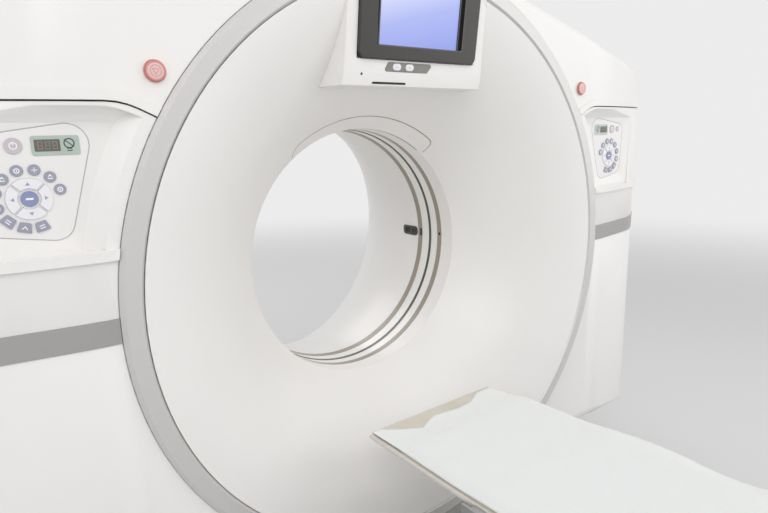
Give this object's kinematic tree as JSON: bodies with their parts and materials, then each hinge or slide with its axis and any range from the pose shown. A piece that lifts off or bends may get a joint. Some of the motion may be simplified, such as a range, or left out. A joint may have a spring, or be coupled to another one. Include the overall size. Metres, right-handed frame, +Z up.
{
  "type": "ct scanner",
  "caption": "Tilting computed tomography gantry with an open bore, trim ring and display, and a lifting patient table with a sliding cradle.",
  "frame": {"origin": "on the floor, straight below the isocentre, at the middle of the gantry's anchor holes", "axes": "+X to the right seen from the table, +Y from the table into the bore, +Z up"},
  "size_m": [2.2818, 3.3283, 1.8172],
  "materials": {
    "cover_white": "moulded, warm white, semi-gloss",
    "satin_silver": "satin silver paint",
    "window_clear": "milky film",
    "bore_tape": "printed bands",
    "sensor_black": "dark window",
    "panel_white": "membrane panel",
    "lcd_glass": "display window",
    "bezel_grey": "dark warm grey",
    "screen_glow": "lit screen",
    "keypad_grey": "key strip",
    "stop_red": "pale red",
    "key_grey": "blue-grey keys",
    "frame_grey": "powder coated steel",
    "cast_grey": "painted casting",
    "drum_alloy": "machined alloy",
    "steel": "ground steel",
    "rail_steel": "brushed stainless steel",
    "belt_rubber": "ribbed rubber",
    "brush_holder": "moulded insulator",
    "ring_brass": "polished tracks",
    "box_grey": "grey enamel",
    "plinth_grey": "moulded, pale grey",
    "pedal_grey": "ribbed rubber over steel",
    "cradle_shell": "moulded shell",
    "mattress_cover": "coated fabric",
    "sheet_cloth": "thin nonwoven cloth"
  },
  "bodies": {
    "base": {"gantry_base": "frame_grey", "plinth_cover": "plinth_grey", "tilt_gear_unit": "cast_grey", "floor_duct": "plinth_grey", "table_base": "frame_grey", "table_tub": "cover_white"},
    "gantry": {"tilt_frame": "frame_grey", "bearing_outer_race": "steel", "drive_motor": "cast_grey", "drive_belt": "belt_rubber", "brush_block": "brush_holder", "front_dish": "cover_white", "trim_ring": "satin_silver", "upper_cover": "cover_white", "left_lower_cover": "cover_white", "right_lower_cover": "cover_white", "rear_cover": "cover_white", "rear_flare": "cover_white", "scan_window": "window_clear", "bore_bands": "bore_tape", "crescent_cover": "cover_white", "bore_sensor": "sensor_black", "side_bands": "satin_silver", "left_panel": "panel_white", "right_panel": "panel_white", "panel_displays": "lcd_glass", "console_housing": "cover_white", "display_bezel": "bezel_grey", "display_screen": "screen_glow", "console_keypad": "keypad_grey"},
    "rotor": {"rotor_drum": "drum_alloy", "rotor_sleeve": "drum_alloy", "xray_tube": "drum_alloy", "collimator": "box_grey", "detector_array": "drum_alloy", "hv_generator": "box_grey", "heat_exchanger": "drum_alloy", "slip_ring": "ring_brass", "counterweight": "cast_grey"},
    "motor_shaft": {"motor_pulley": "steel"},
    "front_arms": {"front_lift_arms": "frame_grey"},
    "rear_arms": {"rear_lift_arms": "frame_grey"},
    "table_top": {"table_frame": "frame_grey", "table_skirt": "cover_white"},
    "cradle_body": {"cradle": "cradle_shell", "accessory_rails": "rail_steel", "mattress": "mattress_cover", "sheet": "sheet_cloth"},
    "pedal_up_body": {"pedal_up": "pedal_grey"},
    "pedal_down_body": {"pedal_down": "pedal_grey"},
    "left_stop": {"left_estop": "stop_red"},
    "right_stop": {"right_estop": "stop_red"},
    "left_key_up_body": {"left_key_up": "key_grey"},
    "left_key_down_body": {"left_key_down": "key_grey"},
    "left_key_in_body": {"left_key_in": "key_grey"},
    "left_key_out_body": {"left_key_out": "key_grey"},
    "right_key_up_body": {"right_key_up": "key_grey"},
    "right_key_down_body": {"right_key_down": "key_grey"},
    "right_key_in_body": {"right_key_in": "key_grey"},
    "right_key_out_body": {"right_key_out": "key_grey"}
  },
  "joints": [
    {"name": "gantry_tilt", "type": "hinge", "parent": "base", "child": "gantry", "pos_m": [0, 0, 1.05], "axis": [-1, 0, 0], "range_deg": [-30, 10]},
    {"name": "rotor_spin", "type": "hinge", "parent": "gantry", "child": "rotor", "pos_m": [0, 0, 1.05], "axis": [0, 1, 0], "continuous": true},
    {"name": "motor_spin", "type": "hinge", "parent": "gantry", "child": "motor_shaft", "pos_m": [0.49497, 0, 0.55503], "axis": [0, 1, 0], "continuous": true},
    {"name": "table_lift", "type": "hinge", "parent": "base", "child": "front_arms", "pos_m": [0, -0.8, 0.14], "axis": [-1, 0, 0], "range_deg": [-18.56, 28.37]},
    {"name": "rear_lift", "type": "hinge", "parent": "base", "child": "rear_arms", "pos_m": [0, -1.5, 0.14], "axis": [-1, 0, 0], "range_deg": [-18.56, 28.37]},
    {"name": "table_level", "type": "hinge", "parent": "front_arms", "child": "table_top", "pos_m": [0, -1.53321, 0.46], "axis": [-1, 0, 0], "range_deg": [-28.37, 18.56]},
    {"name": "cradle_slide", "type": "slide", "parent": "table_top", "child": "cradle_body", "axis": [0, 1, 0], "range_m": [0, 0.15]},
    {"name": "pedal_up_press", "type": "hinge", "parent": "base", "child": "pedal_up_body", "pos_m": [-0.17, -0.633, 0.044], "axis": [-1, 0, 0], "range_deg": [0, 8], "stiffness_Nm_per_rad": 4, "springref_deg": -5.73},
    {"name": "pedal_down_press", "type": "hinge", "parent": "base", "child": "pedal_down_body", "pos_m": [0.17, -0.633, 0.044], "axis": [-1, 0, 0], "range_deg": [0, 8], "stiffness_Nm_per_rad": 4, "springref_deg": -5.73},
    {"name": "left_stop_press", "type": "slide", "parent": "gantry", "child": "left_stop", "axis": [0, 1, 0], "range_m": [0, 0.004], "stiffness_N_per_m": 2500, "springref_m": -0.002},
    {"name": "right_stop_press", "type": "slide", "parent": "gantry", "child": "right_stop", "axis": [0, 1, 0], "range_m": [0, 0.004], "stiffness_N_per_m": 2500, "springref_m": -0.002},
    {"name": "left_key_up_press", "type": "slide", "parent": "gantry", "child": "left_key_up_body", "axis": [0, 1, 0], "range_m": [0, 0.0015], "stiffness_N_per_m": 600, "springref_m": -0.001},
    {"name": "left_key_down_press", "type": "slide", "parent": "gantry", "child": "left_key_down_body", "axis": [0, 1, 0], "range_m": [0, 0.0015], "stiffness_N_per_m": 600, "springref_m": -0.001},
    {"name": "left_key_in_press", "type": "slide", "parent": "gantry", "child": "left_key_in_body", "axis": [0, 1, 0], "range_m": [0, 0.0015], "stiffness_N_per_m": 600, "springref_m": -0.001},
    {"name": "left_key_out_press", "type": "slide", "parent": "gantry", "child": "left_key_out_body", "axis": [0, 1, 0], "range_m": [0, 0.0015], "stiffness_N_per_m": 600, "springref_m": -0.001},
    {"name": "right_key_up_press", "type": "slide", "parent": "gantry", "child": "right_key_up_body", "axis": [0, 1, 0], "range_m": [0, 0.0015], "stiffness_N_per_m": 600, "springref_m": -0.001},
    {"name": "right_key_down_press", "type": "slide", "parent": "gantry", "child": "right_key_down_body", "axis": [0, 1, 0], "range_m": [0, 0.0015], "stiffness_N_per_m": 600, "springref_m": -0.001},
    {"name": "right_key_in_press", "type": "slide", "parent": "gantry", "child": "right_key_in_body", "axis": [0, 1, 0], "range_m": [0, 0.0015], "stiffness_N_per_m": 600, "springref_m": -0.001},
    {"name": "right_key_out_press", "type": "slide", "parent": "gantry", "child": "right_key_out_body", "axis": [0, 1, 0], "range_m": [0, 0.0015], "stiffness_N_per_m": 600, "springref_m": -0.001}
  ],
  "couplings": [
    {"joint": "motor_spin", "follows": "rotor_spin", "ratio": 17.647},
    {"joint": "rear_lift", "follows": "table_lift", "ratio": 1},
    {"joint": "table_level", "follows": "table_lift", "ratio": -1}
  ]
}
